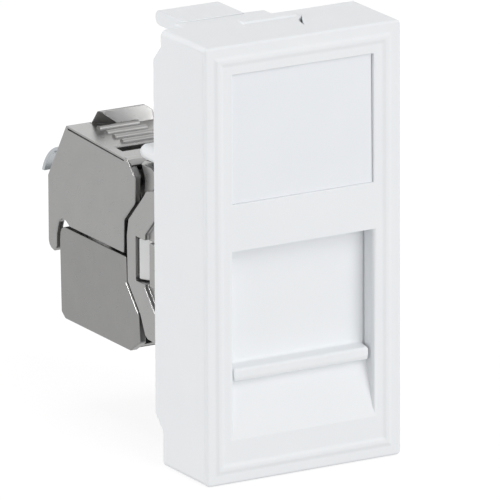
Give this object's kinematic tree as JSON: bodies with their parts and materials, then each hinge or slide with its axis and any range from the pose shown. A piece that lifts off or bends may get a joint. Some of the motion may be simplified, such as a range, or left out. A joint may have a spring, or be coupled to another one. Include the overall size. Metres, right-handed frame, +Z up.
{
  "type": "data outlet insert with shielded network jack",
  "caption": "White half-width snap-in data outlet: flat front with label field and sliding dust shutter, and a shielded metal network jack behind it whose rear jaws swing open.",
  "frame": {"origin": "centre of the module's front plane", "axes": "+X to the right seen from the front, +Y back into the wall, +Z up"},
  "size_m": [0.0226, 0.0403, 0.0453],
  "materials": {
    "white_plastic": "fine satin moulded white plastic",
    "label_plastic": "smooth satin white plastic",
    "cast_metal": "satin nickel plating on die-cast metal",
    "sheet_metal": "bright sheet metal",
    "pin_steel": "drawn steel wire",
    "contact_gold": "gold-flashed spring metal",
    "insert_plastic": "dark moulded plastic",
    "board_laminate": "green coated laminate",
    "holder_plastic": "natural white moulded plastic"
  },
  "bodies": {
    "housing": {"front_cover": "white_plastic", "label_plate": "label_plastic", "jack_carrier": "white_plastic", "jack_body": "cast_metal", "port_insert": "insert_plastic", "spring_contacts": "contact_gold", "shield_springs": "sheet_metal", "circuit_board": "board_laminate", "terminal_block": "holder_plastic", "upper_blades": "sheet_metal", "lower_blades": "sheet_metal", "upper_hinge_pin": "pin_steel", "lower_hinge_pin": "pin_steel"},
    "shutter": {"shutter": "white_plastic"},
    "upper_jaw": {"upper_jaw": "cast_metal", "upper_wire_holder": "holder_plastic", "cable_clamp": "sheet_metal", "clamp_rivets": "sheet_metal"},
    "lower_jaw": {"lower_jaw": "cast_metal", "lower_wire_holder": "holder_plastic"}
  },
  "joints": [
    {"name": "shutter_slide", "type": "slide", "parent": "housing", "child": "shutter", "axis": [0, 0, 1], "range_m": [0, 0.0113]},
    {"name": "upper_jaw_hinge", "type": "hinge", "parent": "housing", "child": "upper_jaw", "pos_m": [0, 0.0225, 0.0035], "axis": [1, 0, 0], "range_deg": [0, 60]},
    {"name": "lower_jaw_hinge", "type": "hinge", "parent": "housing", "child": "lower_jaw", "pos_m": [0, 0.0221, -0.0119], "axis": [-1, 0, 0], "range_deg": [0, 60]}
  ]
}
